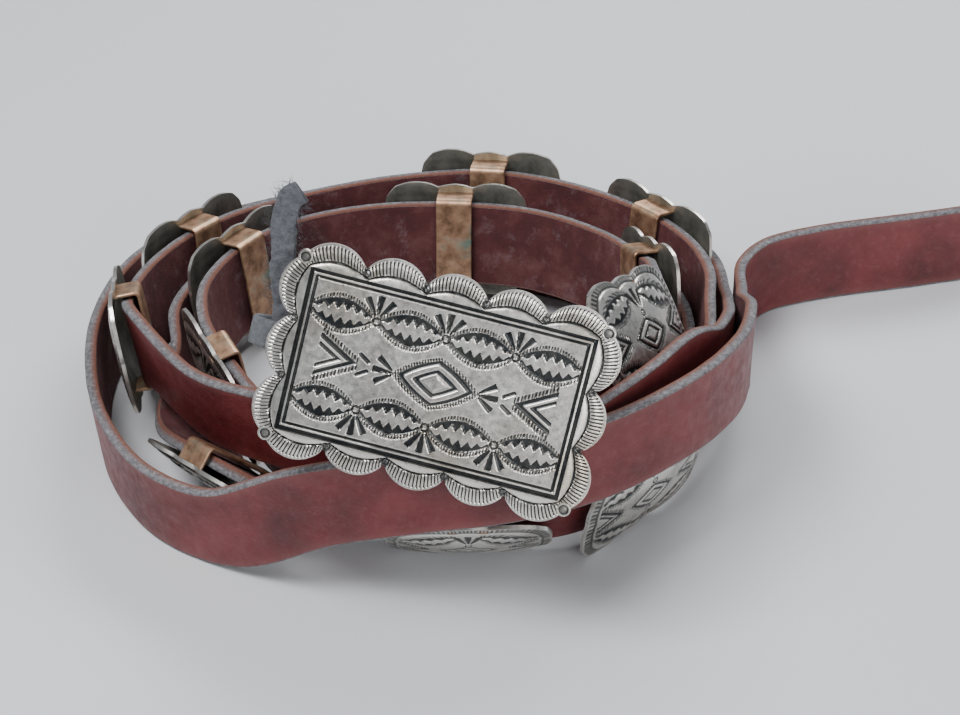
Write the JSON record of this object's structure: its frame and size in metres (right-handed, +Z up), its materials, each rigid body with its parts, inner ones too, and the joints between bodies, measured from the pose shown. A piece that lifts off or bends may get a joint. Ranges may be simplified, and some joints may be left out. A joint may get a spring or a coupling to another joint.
{
  "type": "concho belt, coiled",
  "caption": "Concho belt coiled on a table: red-brown leather strap on its edge, twelve domed stamped silver conchos on loops, scalloped stamped buckle, suede thong and a free tail.",
  "frame": {"origin": "under the middle of the whole coil's bounding box, on the surface that the belt rests on", "axes": "+Z up, -Y towards the buckle's side, +X towards the free tail"},
  "size_m": [0.2682, 0.1922, 0.1136],
  "materials": {
    "leather": "satin",
    "silver": "satin",
    "suede": "matte"
  },
  "bodies": {
    "root": {"strap": "leather", "buckle": "silver", "concho_01": "silver", "concho_02": "silver", "concho_03": "silver", "concho_04": "silver", "concho_05": "silver", "concho_06": "silver", "concho_07": "silver", "concho_08": "silver", "concho_09": "silver", "concho_10": "silver", "concho_11": "silver", "concho_12": "silver", "thong_wrap": "suede", "thong_end": "suede"}
  },
  "joints": []
}
